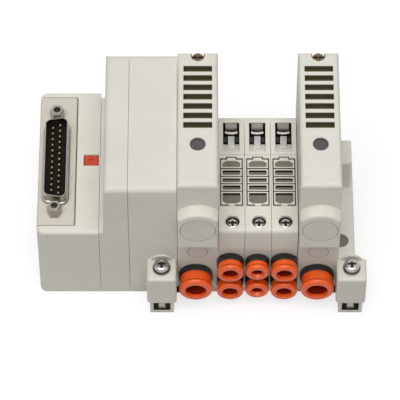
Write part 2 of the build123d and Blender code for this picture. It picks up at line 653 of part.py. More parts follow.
os.makedirs("parts", exist_ok=True)
save("connector_housing", connector_housing())
save("connector_carrier", connector_carrier())
save("dsub_shell", dsub_shell())
save("dsub_insulator", dsub_insulator())
save("dsub_pins", dsub_pins())
save("dsub_jackscrews", dsub_jackscrews())
save("release_button", release_button())
save("junction_cover", junction_cover())
save("junction_housing", junction_housing())
for side, centre in (("left", supply_left_x), ("right", supply_right_x)):
    save(f"supply_body_{side}", supply_body(centre))
    save(f"silencer_cover_{side}", silencer_cover(centre))
    save(f"silencer_element_{side}", silencer_element(centre))
    save(f"cover_screw_{side}", cover_screw(centre))
    save(f"vent_plug_{side}", vent_plug(centre))
    save(f"exhaust_plug_{side}", exhaust_plug(centre))
    save(f"pilot_plug_{side}", pilot_plug(centre))
for side, x, z, size in supply_ports():
    save(f"supply_fitting_{side}", port_fitting(x, z, size))
    save(f"supply_ring_{side}", release_ring(x, z, size))
for i in range(station_count):
    save(f"station_base_{i + 1}", station_base(i))
    save(f"base_gasket_{i + 1}", base_gasket(i))
    save(f"valve_latch_{i + 1}", valve_latch(i))
    save(f"clamp_screw_{i + 1}", clamp_screw(i))
    save(f"port_fittings_{i + 1}", [port_fitting(x, z, size) for _, x, z, size in station_ports(i)])
    for letter, x, z, size in station_ports(i):
        save(f"port_ring_{i + 1}{letter}", release_ring(x, z, size))
save("end_block", end_block())
for side, centre, inward in (("left", bracket_left_x, 1), ("right", bracket_right_x, -1)):
    save(f"rail_bracket_{side}", rail_bracket(centre, inward))
    save(f"rail_clamp_{side}", rail_clamp(centre, inward))
    save(f"rail_screw_{side}", rail_screw(centre))
save("tie_rods", tie_rods())
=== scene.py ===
import math

import bmesh
import bpy
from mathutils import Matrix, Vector


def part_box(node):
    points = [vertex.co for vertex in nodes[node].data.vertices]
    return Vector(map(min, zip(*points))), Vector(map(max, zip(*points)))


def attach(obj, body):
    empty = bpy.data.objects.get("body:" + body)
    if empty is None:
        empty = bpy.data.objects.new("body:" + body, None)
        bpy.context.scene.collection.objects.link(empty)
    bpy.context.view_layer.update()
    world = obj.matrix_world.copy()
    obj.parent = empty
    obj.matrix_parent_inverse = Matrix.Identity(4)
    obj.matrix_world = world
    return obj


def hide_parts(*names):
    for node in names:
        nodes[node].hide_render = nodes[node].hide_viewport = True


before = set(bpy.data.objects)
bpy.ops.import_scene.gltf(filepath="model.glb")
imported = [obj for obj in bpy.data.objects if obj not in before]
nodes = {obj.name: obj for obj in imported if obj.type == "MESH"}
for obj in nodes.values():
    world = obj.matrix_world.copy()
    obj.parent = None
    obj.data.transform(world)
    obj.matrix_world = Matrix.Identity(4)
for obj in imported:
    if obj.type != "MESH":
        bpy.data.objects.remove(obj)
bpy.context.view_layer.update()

# ---- moulded housings ---------------------------------------------------------------------------
# The blocks, covers and brackets are injection-moulded in a light warm grey plastic. The tool is spark
# eroded, which leaves an even matt grain; the colour drifts very slightly from one moulding to the next.
HOUSING_GREY = (0.742, 0.726, 0.648, 1)
HOUSING_SHADE = (0.672, 0.652, 0.570, 1)
NOISE_LOW, NOISE_HIGH, NOISE_BREAKUP = 0.3, 0.7, 0.55
COLOUR_DRIFT, RELIEF_STRENGTH, ERODED = 0.55, 0.6, 0.00004
MOULDED_SHINE = {"Specular IOR Level": 0.42}


def empty_group(name, inputs, outputs):
    """Shader group with named sockets, given as label, socket kind and default."""
    group = bpy.data.node_groups.new(name, "ShaderNodeTree")
    for label, kind, value in inputs:
        group.interface.new_socket(label, in_out="INPUT", socket_type=kind).default_value = value
    for label, kind in outputs:
        group.interface.new_socket(label, in_out="OUTPUT", socket_type=kind)
    return group, group.nodes.new("NodeGroupInput"), group.nodes.new("NodeGroupOutput")


def mapped_noise(group, scale_from, stretch, detail, roughness=NOISE_BREAKUP):
    """Noise in the object's own coordinates, stretched along one axis, with its scale from a socket."""
    place = group.nodes.new("ShaderNodeTexCoord")
    squeeze = group.nodes.new("ShaderNodeMapping")
    squeeze.inputs["Scale"].default_value = stretch
    noise = group.nodes.new("ShaderNodeTexNoise")
    noise.inputs["Detail"].default_value = detail
    noise.inputs["Roughness"].default_value = roughness
    group.links.new(place.outputs["Object"], squeeze.inputs["Vector"])
    group.links.new(squeeze.outputs["Vector"], noise.inputs["Vector"])
    group.links.new(scale_from, noise.inputs["Scale"])
    return noise.outputs["Fac"]


def blended(group, factor, first, second):
    """Colour mixed from two sockets."""
    mix = group.nodes.new("ShaderNodeMix")
    mix.data_type = "RGBA"
    group.links.new(factor, mix.inputs["Factor"])
    group.links.new(first, mix.inputs[6])
    group.links.new(second, mix.inputs[7])
    return mix.outputs[2]


def remapped(group, value, low, high):
    """Value from a narrow middle band of a noise spread between two levels given as sockets or numbers."""
    spread = group.nodes.new("ShaderNodeMapRange")
    spread.inputs["From Min"].default_value = NOISE_LOW
    spread.inputs["From Max"].default_value = NOISE_HIGH
    for label, level in (("To Min", low), ("To Max", high)):
        if isinstance(level, (int, float)):
            spread.inputs[label].default_value = level
        else:
            group.links.new(level, spread.inputs[label])
    group.links.new(value, spread.inputs["Value"])
    return spread.outputs["Result"]


grain, grain_in, grain_out = empty_group(
    "moulded_grain",
    (("Colour", "NodeSocketColor", HOUSING_GREY), ("Shade", "NodeSocketColor", HOUSING_SHADE),
     ("Grain", "NodeSocketFloat", 2600.0), ("Drift", "NodeSocketFloat", 45.0),
     ("Smoothest", "NodeSocketFloat", 0.48), ("Roughest", "NodeSocketFloat", 0.62)),
    (("Colour", "NodeSocketColor"), ("Roughness", "NodeSocketFloat"), ("Height", "NodeSocketFloat")))
fine = mapped_noise(grain, grain_in.outputs["Grain"], (1, 1, 1), 2.0)
broad = mapped_noise(grain, grain_in.outputs["Drift"], (1, 1, 1), 3.0)
grain.links.new(blended(grain, remapped(grain, broad, 0.0, COLOUR_DRIFT), grain_in.outputs["Colour"],
                        grain_in.outputs["Shade"]), grain_out.inputs["Colour"])
grain.links.new(remapped(grain, fine, grain_in.outputs["Smoothest"], grain_in.outputs["Roughest"]),
                grain_out.inputs["Roughness"])
grain.links.new(fine, grain_out.inputs["Height"])


def finish_from(group, name, settings, relief, shader):
    """Material with colour, roughness and relief from one group; relief is the bump's depth in metres."""
    material = bpy.data.materials.new(name)
    material.use_nodes = True
    tree = material.node_tree
    surface = tree.nodes["Principled BSDF"]
    effect = tree.nodes.new("ShaderNodeGroup")
    effect.node_tree = group
    for label, value in settings.items():
        effect.inputs[label].default_value = value
    bump = tree.nodes.new("ShaderNodeBump")
    bump.inputs["Strength"].default_value = RELIEF_STRENGTH
    bump.inputs["Distance"].default_value = relief
    tree.links.new(effect.outputs["Height"], bump.inputs["Height"])
    tree.links.new(bump.outputs["Normal"], surface.inputs["Normal"])
    tree.links.new(effect.outputs["Colour"], surface.inputs["Base Color"])
    tree.links.new(effect.outputs["Roughness"], surface.inputs["Roughness"])
    for label, value in shader.items():
        surface.inputs[label].default_value = value
    return material


def dress(material, *names):
    """Give CAD nodes this finish."""
    for name in names:
        for slot in nodes[name].material_slots:
            slot.material = material


housing = finish_from(grain, "moulded_housing_grey", {}, ERODED, MOULDED_SHINE)
HOUSING_NODES = ("connector_housing", "junction_", "supply_body", "station_base", "end_block")
dress(housing, *[n for n in nodes if n.startswith(HOUSING_NODES)])

# ---- brackets and vented covers -----------------------------------------------------------------
# Separate mouldings in the same plastic. The covers catch the most light, so their colour is painted a touch
# lighter and warmer as painted light; the brackets carry the rail clamps and are handled more, so they are a
# little smoother.
SATIN = 0.00003
# Painted light: the covers' base colour is lighter than the housings' to stand for the light they catch.
cover_painted_light = finish_from(grain, "vented_cover_grey_painted_light", {"Colour": (0.760, 0.744, 0.668, 1), "Drift": 60.0},
                            ERODED, MOULDED_SHINE)
bracket_plastic = finish_from(grain, "bracket_grey", {"Colour": (0.680, 0.666, 0.590, 1),
                                                      "Shade": (0.620, 0.604, 0.528, 1), "Smoothest": 0.38,
                                                      "Roughest": 0.52}, SATIN, {"Specular IOR Level": 0.45})
dress(cover_painted_light, "silencer_cover_left", "silencer_cover_right")
dress(bracket_plastic, "rail_bracket_left", "rail_bracket_right")

# ---- connector carrier --------------------------------------------------------------------------
# The swivelling bar that holds the connector is moulded in a yellower beige than the housings round it,
# with the same spark-eroded grain.
carrier_plastic = finish_from(grain, "carrier_beige", {"Colour": (0.630, 0.603, 0.515, 1),
                                                       "Shade": (0.575, 0.547, 0.460, 1)}, ERODED,
                              MOULDED_SHINE)
dress(carrier_plastic, "connector_carrier")

# ---- release button -----------------------------------------------------------------------------
# Red moulded key that frees the connector's carrier. It slides in a well in the housing, and its skin is
# a little glossier than the housing's.
SMOOTH = 0.00002
button_plastic = finish_from(grain, "release_button_red", {"Colour": (0.620, 0.048, 0.016, 1),
                                                           "Shade": (0.470, 0.045, 0.020, 1), "Drift": 300.0,
                                                           "Smoothest": 0.30, "Roughest": 0.42}, SMOOTH, {})
dress(button_plastic, "release_button")

# ---- plugs --------------------------------------------------------------------------------------
# Dark grey vent plugs press into the covers' tops. Warm grey moulded discs press into the fronts of the
# supply blocks and blank their exhaust and pilot ports.
vent_plastic = finish_from(grain, "vent_plug_dark", {"Colour": (0.070, 0.066, 0.060, 1),
                                                     "Shade": (0.045, 0.043, 0.040, 1), "Grain": 3400.0,
                                                     "Drift": 400.0}, ERODED, {})
disc_plastic = finish_from(grain, "blanking_disc_grey", {"Colour": (0.700, 0.672, 0.620, 1),
                                                         "Shade": (0.640, 0.606, 0.552, 1), "Drift": 120.0},
                           SATIN, {})
dress(vent_plastic, "vent_plug_left", "vent_plug_right")
dress(disc_plastic, "exhaust_plug_left", "exhaust_plug_right", "pilot_plug_left", "pilot_plug_right")

# ---- silencer elements --------------------------------------------------------------------------
# Porous blocks of pressed fibre fill the covers and show through their slots as a dark olive mat.
# Dark fibre lips stand up inside the slots and line their walls nearly to the top: painted shade in the slots.
FIBRE_RELIEF = 0.0003
silencer_fibre_and_slot_shade = finish_from(grain, "silencer_fibre_and_slot_shade", {"Colour": (0.080, 0.070, 0.018, 1),
                                                       "Shade": (0.036, 0.030, 0.008, 1), "Grain": 1500.0,
                                                       "Drift": 700.0, "Smoothest": 0.85, "Roughest": 1.0},
                             FIBRE_RELIEF, {"Sheen Weight": 0.2})
dress(silencer_fibre_and_slot_shade, "silencer_element_left", "silencer_element_right")


def mesh_piece(name, mesh, material, body="island"):
    """New piece with the given finish, which moves with a body."""
    piece = bpy.data.objects.new(name, mesh)
    bpy.context.scene.collection.objects.link(piece)
    mesh.materials.append(material)
    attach(piece, body)
    return piece


def mesh_from(name, build):
    """Mesh filled in by a function that works on a bmesh, with its normals made to agree."""
    work = bmesh.new()
    build(work)
    bmesh.ops.recalc_face_normals(work, faces=work.faces)
    mesh = bpy.data.meshes.new(name)
    work.to_mesh(mesh)
    work.free()
    return mesh


def ring_of_faces(work, loops, closed=False):
    """Skin a list of equal loops of points, one after another."""
    rows = [[work.verts.new(point) for point in loop] for loop in loops]
    count = len(rows[0])
    pairs = list(zip(rows, rows[1:])) + ([(rows[-1], rows[0])] if closed else [])
    for low, high in pairs:
        for i in range(count):
            work.faces.new((low[i], low[(i + 1) % count], high[(i + 1) % count], high[i]))
    return rows


def rectangle(x0, x1, y0, y1, z):
    """Corner points of a level rectangle."""
    return [(x0, y0, z), (x1, y0, z), (x1, y1, z), (x0, y1, z)]


# The rearmost slot is measured from the cover's front edge, and the lips hang from its top.
SLOT_COUNT, SLOT_PITCH, SLOT_WIDTH, SLOT_LENGTH, REAR_SLOT = 7, 0.0046, 0.0114, 0.0029, 0.0569
LIP_WALL, LIP_SINK, LIP_DEEP, LIP_CLEAR = 0.00018, 0.00022, 0.0028, 0.00003
for side in ("left", "right"):
    low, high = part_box(f"silencer_cover_{side}")
    middle, rear_slot = (low.x + high.x) / 2, low.y + REAR_SLOT
    lip_top, lip_bottom = high.z - LIP_SINK, high.z - LIP_DEEP

    def slot_shade_lips(work):
        for i in range(SLOT_COUNT):
            centre = rear_slot - i * SLOT_PITCH
            outer_x, outer_y = SLOT_WIDTH / 2 - LIP_CLEAR, SLOT_LENGTH / 2 - LIP_CLEAR
            inner_x, inner_y = outer_x - LIP_WALL, outer_y - LIP_WALL
            outer = [rectangle(middle - outer_x, middle + outer_x, centre - outer_y, centre + outer_y, z)
                     for z in (lip_bottom, lip_top)]
            inner = [rectangle(middle - inner_x, middle + inner_x, centre - inner_y, centre + inner_y, z)
                     for z in (lip_top, lip_bottom)]
            ring_of_faces(work, outer + inner, closed=True)

    # Painted shade: the lips are dark sheets on the slot walls, which are only in shade.
    mesh_piece(f"silencer_shade_lips_{side}", mesh_from("silencer_shade_lips", slot_shade_lips), silencer_fibre_and_slot_shade)

# ---- gaskets and contact carrier ----------------------------------------------------------------
# The face gaskets are black rubber and lie round the port cells. The insulator that holds the connector's
# contacts is moulded in a black glass-filled plastic.
gasket_rubber = finish_from(grain, "gasket_rubber", {"Colour": (0.022, 0.021, 0.019, 1),
                                                     "Shade": (0.012, 0.012, 0.011, 1), "Smoothest": 0.55,
                                                     "Roughest": 0.75}, SATIN, {})
insulator_plastic = finish_from(grain, "contact_insulator", {"Colour": (0.010, 0.009, 0.008, 1),
                                                             "Shade": (0.006, 0.005, 0.005, 1),
                                                             "Drift": 200.0, "Smoothest": 0.55,
                                                             "Roughest": 0.75}, SATIN,
                                {"Specular IOR Level": 0.12})
dress(gasket_rubber, "base_gasket_1", "base_gasket_2", "base_gasket_3")
dress(insulator_plastic, "dsub_insulator")

# ---- valve faces --------------------------------------------------------------------------------
# Each open station shows five ports in a row. A rubber gasket runs round them, flush with their light rims.
# Every port has a brown-grey floor below its rim, darkened as painted shade, and a near-black plate at its back,
# painted shadow under the rim. Fills in the end ports' corners are painted a lighter grey as painted highlight.
def grid_plate(work, xs, ys, is_solid, z0, z1):
    """Plate on a grid of lines; is_solid says of each square's middle whether it is filled."""
    corner = {}

    def at(i, j, z):
        return corner.setdefault((i, j, z), work.verts.new((xs[i], ys[j], z)))

    columns, rows = len(xs) - 1, len(ys) - 1
    solid = {(i, j) for i in range(columns) for j in range(rows)
             if is_solid((xs[i] + xs[i + 1]) / 2, (ys[j] + ys[j + 1]) / 2)}
    for i, j in solid:
        square = ((i, j), (i + 1, j), (i + 1, j + 1), (i, j + 1))
        work.faces.new([at(a, b, z1) for a, b in square])
        work.faces.new([at(a, b, z0) for a, b in reversed(square)])
        for (di, dj), (a, b) in (((0, -1), (0, 1)), ((1, 0), (1, 2)), ((0, 1), (2, 3)), ((-1, 0), (3, 0))):
            if (i + di, j + dj) not in solid:
                p, q = square[a], square[b]
                work.faces.new((at(*p, z0), at(*q, z0), at(*q, z1), at(*p, z1)))
    bmesh.ops.delete(work, geom=[v for v in work.verts if not v.link_faces], context="VERTS")


def prism(work, outline, x0, x1):
    """Closed bar with an outline of (y, z) points, from x0 to x1."""
    rows = ring_of_faces(work, [[(x, y, z) for y, z in outline] for x in (x0, x1)])
    work.faces.new(rows[0])
    work.faces.new(rows[1])


def softened(piece, width):
    """Small rounded edges, as moulding or pressing leaves them."""
    bevel = piece.modifiers.new("rounded_edges", "BEVEL")
    bevel.width = width
    bevel.segments = 2
    bevel.limit_method = "ANGLE"
    bevel.harden_normals = True
    for face in piece.data.polygons:
        face.use_smooth = True
    return piece


# Painted shade: the port floors are far darker than the housing, for the shade deep in the ports.
port_floor_painted_shade = finish_from(grain, "port_floor_grey_painted_shade", {"Colour": (0.225, 0.200, 0.158, 1),
                                                    "Shade": (0.150, 0.130, 0.100, 1), "Drift": 500.0,
                                                    "Smoothest": 0.60, "Roughest": 0.80}, SATIN,
                         {"Specular IOR Level": 0.25})
# Painted shadow: near-black sheets for the shade under rims and in wells, recesses and windows.
port_shadow = finish_from(grain, "painted_port_shadow", {"Colour": (0.030, 0.024, 0.012, 1),
                                                   "Shade": (0.018, 0.014, 0.008, 1), "Smoothest": 0.75,
                                                   "Roughest": 0.90}, SMOOTH, {"Specular IOR Level": 0.15})
# Painted highlight: the corner fills and the tab are lighter than the housing they belong to.
rim_painted_highlight = finish_from(grain, "port_rim_grey_painted_highlight", {"Colour": (0.780, 0.768, 0.715, 1),
                                                   "Shade": (0.730, 0.715, 0.660, 1)}, SMOOTH,
                          MOULDED_SHINE)
# Front and back of each port, with the depth of its floor and the height of its undercut's painted shadow.
PORTS = ((0.0130, 0.0191, 0.0014, 0.0013), (0.0196, 0.0228, 0.0013, 0.0012), (0.0233, 0.0264, 0.0013, 0.0008),
         (0.0269, 0.0302, 0.0013, 0.0012), (0.0308, 0.0349, 0.0007, 0.0001))
PORT_HALF, PORT_WALL, FACE_HALF, FACE_FRONT, FACE_BACK = 0.0041, 0.0005, 0.0046, 0.0123, 0.0355
PLATE, GAP, CORNER_WIDE, CORNER_LONG = 0.00015, 0.00002, 0.0015, 0.0010
TAB_HALF, TAB_FRONT, TAB_LONG, TAB_THICK = 0.0012, 0.0124, 0.0006, 0.0002
BEAD_LOW, BEAD_HIGH, UNDERCUT_ROOM, CORNER_SINK = 0.00028, 0.00010, 0.0002, 0.0002
KEY_HALF, KEY_PAD_HALF, KEY_BACK, KEY_PAD_BACK = 0.00213, 0.00172, 0.03628, 0.03587
for station in (1, 2, 3):
    low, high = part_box(f"station_base_{station}")
    middle, front, top = (low.x + high.x) / 2, low.y, high.z

    def gasket_bead(work):
        half, outer = PORT_HALF + GAP, FACE_HALF - GAP
        xs = [side * x for side, xs_of in ((-1, (outer, half, KEY_HALF, KEY_PAD_HALF)),
                                           (1, (KEY_PAD_HALF, KEY_HALF, half, outer))) for x in xs_of]
        ports = [(near - GAP, far + GAP) for near, far, _, _ in PORTS]
        ys = ([FACE_FRONT + GAP] + [y for port in ports for y in port]
              + [FACE_BACK - GAP, KEY_PAD_BACK, KEY_BACK])

        def rubber(x, y):
            if any(abs(x) < half and near < y < far for near, far in ports):
                return False
            if ports[-1][1] < y < KEY_PAD_BACK and abs(x) < KEY_PAD_HALF:
                return False
            return y < FACE_BACK or abs(x) < KEY_HALF

        grid_plate(work, xs, ys, rubber, top - BEAD_LOW, top - BEAD_HIGH)
        bmesh.ops.translate(work, verts=work.verts, vec=(middle, front, 0))

    def floors(work):
        half = PORT_HALF - PORT_WALL - GAP
        for near, far, depth, _ in PORTS:
            z = top - depth
            y0, y1 = front + near + PORT_WALL + GAP, front + far - PORT_WALL - GAP
            prism(work, [(y0, z - PLATE), (y1, z - PLATE), (y1, z), (y0, z)], middle - half, middle + half)

    def undercut_shadows(work):
        half = PORT_HALF - PORT_WALL - GAP
        for _, far, depth, tall in PORTS[:-1]:
            y1 = front + far - PORT_WALL - GAP
            low_z = top - depth + GAP
            high_z = low_z + tall - UNDERCUT_ROOM
            prism(work, [(y1 - PLATE, low_z), (y1, low_z), (y1, high_z), (y1 - PLATE, high_z)],
                  middle - half, middle + half)

    def corners(work):
        half = PORT_HALF - PORT_WALL - GAP
        for (near, far, depth, _), back in ((PORTS[0], False), (PORTS[-1], True)):
            edge = front + (far - PORT_WALL - GAP if back else near + PORT_WALL + GAP)
            inward = -CORNER_LONG if back else CORNER_LONG
            for side in (-1, 1):
                x = middle + side * half
                triangle = [(x, edge), (x - side * CORNER_WIDE, edge), (x, edge + inward)]
                rows = ring_of_faces(work, [[(a, b, z) for a, b in triangle]
                                            for z in (top - depth + GAP, top - CORNER_SINK)])
                work.faces.new(rows[0])
                work.faces.new(rows[1])
        y0, tab_low = front + TAB_FRONT, top - TAB_THICK
        prism(work, [(y0, tab_low), (y0 + TAB_LONG, tab_low), (y0 + TAB_LONG, top), (y0, top)],
              middle - TAB_HALF, middle + TAB_HALF)

    mesh_piece(f"gasket_bead_{station}", mesh_from("gasket_bead", gasket_bead), gasket_rubber)
    mesh_piece(f"port_floors_{station}", mesh_from("port_floors", floors), port_floor_painted_shade)
    mesh_piece(f"port_undercut_shadows_{station}", mesh_from("port_undercut_shadows", undercut_shadows), port_shadow)
    mesh_piece(f"port_corners_{station}", mesh_from("port_corners", corners), rim_painted_highlight)

# ---- push-in fittings ---------------------------------------------------------------------------
# Black moulded fitting bodies press into the blocks. Orange acetal release rings with a satin skin slide
# in them.
POLISHED = 0.00001
fitting_plastic = finish_from(grain, "fitting_black", {"Colour": (0.014, 0.013, 0.012, 1),
                                                       "Shade": (0.008, 0.008, 0.008, 1), "Drift": 250.0,
                                                       "Smoothest": 0.22, "Roughest": 0.34}, POLISHED, {})
ring_plastic = finish_from(grain, "release_ring_orange", {"Colour": (0.890, 0.112, 0.008, 1),
                                                          "Shade": (0.780, 0.085, 0.006, 1), "Drift": 180.0,
                                                          "Smoothest": 0.26, "Roughest": 0.38}, POLISHED,
                           {"Coat Weight": 0.15, "Coat Roughness": 0.25})
dress(fitting_plastic, *[n for n in nodes if n.startswith(("supply_fitting", "port_fittings"))])
dress(ring_plastic, *[n for n in nodes if n.startswith(("supply_ring", "port_ring"))])

# ---- metal parts --------------------------------------------------------------------------------
# Sheet, bar and turned parts show fine lines from rolling or turning. Each plating and each bare steel
# has its own colour.
TARNISH_SHARE, ROLLED_RELIEF = 0.7, 0.000006
lines, lines_in, lines_out = empty_group(
    "rolled_lines",
    (("Colour", "NodeSocketColor", (0.66, 0.64, 0.61, 1)),
     ("Shade", "NodeSocketColor", (0.50, 0.48, 0.45, 1)),
     ("Lines", "NodeSocketFloat", 900.0), ("Tarnish", "NodeSocketFloat", 350.0),
     ("Smoothest", "NodeSocketFloat", 0.16), ("Roughest", "NodeSocketFloat", 0.32)),
    (("Colour", "NodeSocketColor"), ("Roughness", "NodeSocketFloat"), ("Height", "NodeSocketFloat")))
drawn = mapped_noise(lines, lines_in.outputs["Lines"], (6, 0.6, 6), 3.0)
film = mapped_noise(lines, lines_in.outputs["Tarnish"], (1, 1, 1), 3.0)
lines.links.new(blended(lines, remapped(lines, film, 0.0, TARNISH_SHARE), lines_in.outputs["Colour"],
                        lines_in.outputs["Shade"]), lines_out.inputs["Colour"])
lines.links.new(remapped(lines, drawn, lines_in.outputs["Smoothest"], lines_in.outputs["Roughest"]),
                lines_out.inputs["Roughness"])
lines.links.new(drawn, lines_out.inputs["Height"])


def metal(name, colour, shade, smoothest, roughest, scratch=3000.0):
    """Metal with fine lines, between two shades and two levels of polish."""
    return finish_from(lines, name, {"Colour": (*colour, 1), "Shade": (*shade, 1), "Smoothest": smoothest,
                                     "Roughest": roughest, "Lines": scratch}, ROLLED_RELIEF,
                       {"Metallic": 1.0})


nickel = metal("nickel_plate", (0.405, 0.382, 0.345), (0.276, 0.258, 0.23), 0.12, 0.24)
gold = metal("gold_plate", (0.48, 0.35, 0.17), (0.30, 0.20, 0.09), 0.22, 0.36)
screw_steel = metal("screw_steel", (0.459, 0.446, 0.428), (0.372, 0.36, 0.341), 0.16, 0.30)
brown_steel = metal("passivated_steel", (0.223, 0.167, 0.112), (0.149, 0.105, 0.068), 0.28, 0.45)
spring_steel = metal("spring_steel", (0.322, 0.304, 0.279), (0.248, 0.229, 0.205), 0.24, 0.40)
zinc_steel = metal("zinc_plate", (0.36, 0.36, 0.347), (0.285, 0.285, 0.273), 0.30, 0.45)
black_steel = metal("black_oxide", (0.037, 0.036, 0.035), (0.022, 0.021, 0.02), 0.35, 0.50)
dress(nickel, "dsub_shell", "dsub_jackscrews")
dress(gold, "dsub_pins")
dress(screw_steel, "clamp_screw_1", "clamp_screw_2", "clamp_screw_3", "rail_screw_left", "rail_screw_right")
dress(brown_steel, "cover_screw_left", "cover_screw_right")
dress(zinc_steel, "tie_rods")
dress(black_steel, "rail_clamp_left", "rail_clamp_right")

# ---- valve latches ------------------------------------------------------------------------------
# A bent spring-steel catch sits in a well behind each valve face: a sloping back plate, a curved cross-bar and a
# bright tongue that comes forward between two black stops onto a moulded ramp. The well's near-black lining is
# painted shade.
bright_steel = metal("polished_steel", (0.336, 0.33, 0.312), (0.276, 0.27, 0.258), 0.34, 0.46)
# The same black also paints the shade rings round the screw heads.
stop_and_shade_black = finish_from(grain, "latch_stop_and_shade_black", {"Colour": (0.014, 0.013, 0.011, 1),
                                                       "Shade": (0.008, 0.008, 0.007, 1), "Smoothest": 0.40,
                                                       "Roughest": 0.60}, SMOOTH,
                           {"Specular IOR Level": 0.3})


def bent_strip(work, middle, line, thick):
    """Sheet strip along (y, z, half width) points either side of a middle, square to its own line."""
    loops = []
    for i, (y, z, half) in enumerate(line):
        before, after = line[max(i - 1, 0)], line[min(i + 1, len(line) - 1)]
        along = Vector((0, after[0] - before[0], after[1] - before[1])).normalized()
        off = Vector((0, -along.z, along.y)) * thick / 2
        ends = [Vector((middle + side * half, y, z)) for side in (-1, 1)]
        loops.append([ends[0] - off, ends[1] - off, ends[1] + off, ends[0] + off])
    rows = ring_of_faces(work, loops)
    work.faces.new(rows[0])
    work.faces.new(rows[-1])


WELL_FRONT, WELL_BACK, WELL_HALF, WELL_DEEP, WELL_SKIN = 0.0446, 0.0532, 0.0033, 0.0080, 0.00012
WELL_FALL, WELL_RISE = 0.0029, 0.0004
STEEL, BAR_RADIUS, BAR_HALF, BAR_BOW = 0.0004, 0.00068, 0.0025, 0.0003
BAR_BACK, BAR_DROP, BAR_SAG, BAR_STEPS, BAR_SIDES = 0.0483, 0.0009, 0.0001, 12, 12
SHEET_ROUND, RAMP_ROUND, STOP_ROUND = 0.00006, 0.00015, 0.00025
# Outlines as distances back from the block's front and down from its top, and half widths for the tongue.
STOP_NEAR, STOP_FAR, CATCH_HALF = 0.00145, 0.0031, 0.00235
STOP_OUTLINE = ((0.0447, 0.0028), (0.0472, 0.0028), (0.0472, 0.0013), (0.0463, 0.0011), (0.0447, 0.0014))
RAMP_OUTLINE = ((0.03882, 0.0079), (0.0445, 0.0079), (0.0445, 0.0029), (0.0436, 0.0024), (0.03882, 0.0002))
CATCH_LINE = ((0.0529, 0.0002), (0.0526, 0.0005), (0.0508, 0.0024), (0.0504, 0.0032), (0.0503, 0.0072))
TONGUE_LINE = ((0.0474, 0.0015, 0.00125), (0.0469, 0.0009, 0.0013), (0.0422, 0.0013, 0.0013),
               (0.0417, 0.0014, 0.0016), (0.0412, 0.0019, 0.0016))
for station in (1, 2, 3):
    low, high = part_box(f"station_base_{station}")
    latch_middle, front, top = (low.x + high.x) / 2, low.y, high.z

    def well(work):
        x0, x1 = latch_middle - WELL_HALF + GAP, latch_middle + WELL_HALF - GAP
        y0, y1, floor_z = front + WELL_FRONT, front + WELL_BACK - GAP, top - WELL_DEEP + GAP

        def brim(inset):
            """Open edge of the well, which falls from its back to the ramp."""
            a, b, c, d = x0 + inset, x1 - inset, y0 + inset, y1 - inset
            fall, rise = top - WELL_FALL, top - WELL_RISE
            return [(a, c, fall), (b, c, fall), (b, d, rise), (a, d, rise)]

        rows = ring_of_faces(work, [rectangle(x0, x1, y0, y1, floor_z), brim(0), brim(WELL_SKIN),
                                    rectangle(x0 + WELL_SKIN, x1 - WELL_SKIN, y0 + WELL_SKIN, y1 - WELL_SKIN,
                                              floor_z + WELL_SKIN)])
        work.faces.new(rows[0])
        work.faces.new(rows[-1])

    def stops(work):
        for side in (-1, 1):
            x0, x1 = sorted((latch_middle + side * STOP_NEAR, latch_middle + side * STOP_FAR))
            prism(work, [(front + y, top - drop) for y, drop in STOP_OUTLINE], x0, x1)

    def ramp(work):
        prism(work, [(front + y, top - drop) for y, drop in RAMP_OUTLINE],
              latch_middle - WELL_HALF + GAP, latch_middle + WELL_HALF - GAP)

    def catch(work):
        bent_strip(work, latch_middle, [(front + y, top - drop, CATCH_HALF) for y, drop in CATCH_LINE], STEEL)
        loops = []
        for i in range(BAR_STEPS + 1):
            across = -1 + 2 * i / BAR_STEPS
            centre = Vector((latch_middle + across * BAR_HALF, front + BAR_BACK + BAR_BOW * across ** 2,
                             top - BAR_DROP + BAR_SAG * across ** 2))
            loops.append([centre + BAR_RADIUS * Vector((0, math.cos(turn), math.sin(turn)))
                          for turn in (2 * math.pi * k / BAR_SIDES for k in range(BAR_SIDES))])
        rows = ring_of_faces(work, loops)
        work.faces.new(rows[0])
        work.faces.new(rows[-1])

    def tongue(work):
        bent_strip(work, latch_middle, [(front + y, top - drop, half) for y, drop, half in TONGUE_LINE],
                   STEEL)

    # Painted shade: the well's near-black lining stands for the shade in the pocket.
    mesh_piece(f"latch_shade_well_{station}", mesh_from("latch_shade_well", well), port_shadow)
    softened(mesh_piece(f"latch_ramp_{station}", mesh_from("latch_ramp", ramp), housing),
             RAMP_ROUND)
    softened(mesh_piece(f"latch_stops_{station}", mesh_from("latch_stops", stops), stop_and_shade_black),
             STOP_ROUND)
    catch_piece = softened(mesh_piece(f"latch_catch_{station}", mesh_from("latch_catch", catch), spring_steel), SHEET_ROUND)
    softened(mesh_piece(f"latch_tongue_{station}", mesh_from("latch_tongue", tongue), bright_steel), SHEET_ROUND)
    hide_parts(f"valve_latch_{station}")

# ---- screw recesses -----------------------------------------------------------------------------
# The cross recesses for a screwdriver are lined with a thin near-black cross as painted shade. A near-black ring
# in the gap round each screw head is painted shade.
CROSS_THICK = 0.0001


def cross_plate(work, x, y, z, reach, half):
    """Thin cross with four equal arms."""
    outline = [(reach, -half), (reach, half), (half, half), (half, reach), (-half, reach), (-half, half),
               (-reach, half), (-reach, -half), (-half, -half), (-half, -reach), (half, -reach),
               (half, -half)]
    rows = ring_of_faces(work, [[(x + a, y + b, level) for a, b in outline]
                                for level in (z - CROSS_THICK, z)])
    work.faces.new(rows[0])
    work.faces.new(rows[1])


def flat_ring(work, x, y, z0, z1, inner, outer, sides=48):
    """Washer-shaped ring with its axis upright."""
    turns = [2 * math.pi * k / sides for k in range(sides)]
    loops = [[(x + r * math.cos(t), y + r * math.sin(t), z) for t in turns]
             for r, z in ((outer, z0), (outer, z1), (inner, z1), (inner, z0))]
    ring_of_faces(work, loops, closed=True)


RECESS_REACH, RECESS_HALF, RECESS_DROP = 0.00132, 0.00034, 0.00045
